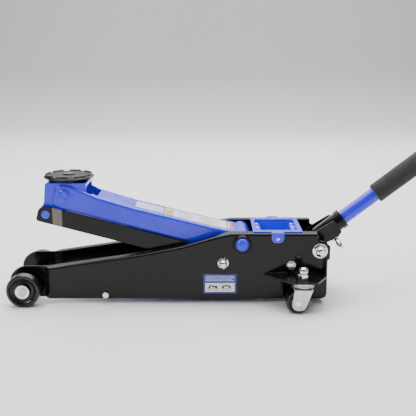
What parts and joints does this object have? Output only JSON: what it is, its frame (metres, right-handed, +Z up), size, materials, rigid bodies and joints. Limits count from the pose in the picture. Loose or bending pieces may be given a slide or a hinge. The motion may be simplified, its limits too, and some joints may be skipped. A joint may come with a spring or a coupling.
{
  "type": "hydraulic trolley jack",
  "caption": "Low profile hydraulic trolley jack with a channel lift arm, levelled round saddle, steel side plates, casters and a sleeved handle.",
  "frame": {"origin": "centre of the bounding box in X and Y, on the floor in Z", "axes": "+Z up, -X towards the saddle end, +X towards the handle end, -Y is the operator's left side"},
  "size_m": [1.5806, 0.2912, 0.8435],
  "materials": {
    "black_gloss_paint": "gloss",
    "blue_gloss_paint": "gloss",
    "blue_cap": "gloss",
    "bright_zinc": "bright zinc or chrome",
    "satin_zinc": "satin zinc",
    "dark_steel": "oiled machined steel",
    "cast_black": "painted casting",
    "black_wheel": "moulded, satin",
    "foam_black": "matte foam",
    "grip_black": "matte rubber",
    "label_film": "printed film",
    "gun_metal": "cast, painted dark"
  },
  "bodies": {
    "chassis": {"side_plate_left": "black_gloss_paint", "side_plate_right": "black_gloss_paint", "front_cross_tube": "black_gloss_paint", "front_axle": "satin_zinc", "front_axle_washers": "bright_zinc", "front_axle_clips": "bright_zinc", "tie_rod": "bright_zinc", "rear_tie_bar": "black_gloss_paint", "caster_shelf_left": "black_gloss_paint", "caster_shelf_right": "black_gloss_paint", "arm_shaft": "dark_steel", "arm_shaft_collars": "black_gloss_paint", "arm_shaft_caps": "blue_cap", "link_pivot_bolts": "bright_zinc", "pivot_spacers": "dark_steel", "pivot_washers": "bright_zinc", "handle_pivot_shaft": "bright_zinc", "top_cover": "blue_gloss_paint", "top_cover_screws": "bright_zinc", "cover_rails": "black_gloss_paint", "main_cylinder": "gun_metal", "cylinder_end_nut": "dark_steel", "power_unit_mounts": "gun_metal", "power_unit_bolts": "bright_zinc", "power_unit_base": "gun_metal", "filler_plug": "bright_zinc", "reservoir_shell": "gun_metal", "caster_races": "satin_zinc", "caster_stems": "bright_zinc", "side_label": "label_film"},
    "lift_arm": {"lift_arm": "blue_gloss_paint", "arm_hub": "blue_gloss_paint", "crank_pin": "dark_steel", "arm_front_pin": "blue_gloss_paint"},
    "links": {"link_left": "black_gloss_paint", "link_right": "black_gloss_paint", "link_front_pin": "blue_gloss_paint"},
    "saddle_bracket": {"saddle_bracket": "blue_gloss_paint"},
    "saddle": {"saddle": "cast_black"},
    "ram": {"ram_head": "dark_steel", "ram_rod": "satin_zinc"},
    "yoke": {"handle_yoke": "black_gloss_paint", "pump_roller": "dark_steel", "clamp_screw": "bright_zinc"},
    "handle": {"handle_lower_tube": "blue_gloss_paint", "handle_upper_tube": "blue_gloss_paint", "handle_snap_button": "bright_zinc", "handle_sleeve": "foam_black", "handle_grip": "grip_black"},
    "release_valve": {"release_valve": "dark_steel"},
    "plunger_left": {"pump_plunger_left": "satin_zinc"},
    "plunger_right": {"pump_plunger_right": "satin_zinc"},
    "front_wheel_left": {"front_wheel_left": "black_wheel"},
    "front_wheel_right": {"front_wheel_right": "black_wheel"},
    "caster_left": {"caster_fork_left": "satin_zinc", "caster_axle_left": "bright_zinc"},
    "caster_wheel_left": {"caster_wheel_left": "black_wheel"},
    "caster_right": {"caster_fork_right": "satin_zinc", "caster_axle_right": "bright_zinc"},
    "caster_wheel_right": {"caster_wheel_right": "black_wheel"}
  },
  "joints": [
    {"name": "lift_arm", "type": "hinge", "parent": "chassis", "child": "lift_arm", "pos_m": [-0.29232, 0, 0.132], "axis": [0, 1, 0], "range_deg": [-25, 40]},
    {"name": "link_swing", "type": "hinge", "parent": "chassis", "child": "links", "pos_m": [-0.33232, 0, 0.0905], "axis": [0, 1, 0], "range_deg": [-25.5, 40.5]},
    {"name": "bracket_tilt", "type": "hinge", "parent": "lift_arm", "child": "saddle_bracket", "pos_m": [-0.66832, 0, 0.231], "axis": [0, 1, 0], "range_deg": [-40.5, 25.5]},
    {"name": "saddle_spin", "type": "hinge", "parent": "saddle_bracket", "child": "saddle", "pos_m": [-0.66532, 0, 0.255], "axis": [0, 0, 1], "continuous": true},
    {"name": "ram_stroke", "type": "slide", "parent": "chassis", "child": "ram", "axis": [-1, 0, 0], "range_m": [-0.0262, 0.0416]},
    {"name": "handle_pump", "type": "hinge", "parent": "chassis", "child": "yoke", "pos_m": [-0.12832, 0, 0.1175], "axis": [0, -1, 0], "range_deg": [-15, 50]},
    {"name": "handle_twist", "type": "hinge", "parent": "yoke", "child": "handle", "pos_m": [-0.132, 0, 0.12224], "axis": [0.7902, 0, 0.6129], "range_deg": [0, 90]},
    {"name": "release_valve_turn", "type": "hinge", "parent": "chassis", "child": "release_valve", "pos_m": [-0.11432, 0, 0.05], "axis": [1, 0, 0], "range_deg": [0, 90.5]},
    {"name": "plunger_left_stroke", "type": "slide", "parent": "chassis", "child": "plunger_left", "axis": [0, 0, 1], "range_m": [-0.0033, 0.0107]},
    {"name": "plunger_right_stroke", "type": "slide", "parent": "chassis", "child": "plunger_right", "axis": [0, 0, 1], "range_m": [-0.0033, 0.0107]},
    {"name": "front_wheel_left_roll", "type": "hinge", "parent": "chassis", "child": "front_wheel_left", "pos_m": [-0.75332, -0.0925, 0.0353], "axis": [0, 1, 0], "continuous": true},
    {"name": "caster_left_swivel", "type": "hinge", "parent": "chassis", "child": "caster_left", "pos_m": [-0.16732, -0.1196, 0.05], "axis": [0, 0, 1], "continuous": true},
    {"name": "caster_left_roll", "type": "hinge", "parent": "caster_left", "child": "caster_wheel_left", "pos_m": [-0.17982, -0.1196, 0.0235], "axis": [0, 1, 0], "continuous": true},
    {"name": "front_wheel_right_roll", "type": "hinge", "parent": "chassis", "child": "front_wheel_right", "pos_m": [-0.75332, 0.0925, 0.0353], "axis": [0, 1, 0], "continuous": true},
    {"name": "caster_right_swivel", "type": "hinge", "parent": "chassis", "child": "caster_right", "pos_m": [-0.16732, 0.1196, 0.05], "axis": [0, 0, 1], "continuous": true},
    {"name": "caster_right_roll", "type": "hinge", "parent": "caster_right", "child": "caster_wheel_right", "pos_m": [-0.17982, 0.1196, 0.0235], "axis": [0, 1, 0], "continuous": true}
  ],
  "couplings": [
    {"joint": "link_swing", "follows": "lift_arm", "ratio": 1},
    {"joint": "bracket_tilt", "follows": "lift_arm", "ratio": -1},
    {"joint": "ram_stroke", "follows": "lift_arm", "m_per_rad": 0.0588},
    {"joint": "plunger_left_stroke", "follows": "handle_pump", "m_per_rad": 0.012},
    {"joint": "plunger_right_stroke", "follows": "handle_pump", "m_per_rad": 0.012},
    {"joint": "release_valve_turn", "follows": "handle_twist", "ratio": 1}
  ]
}
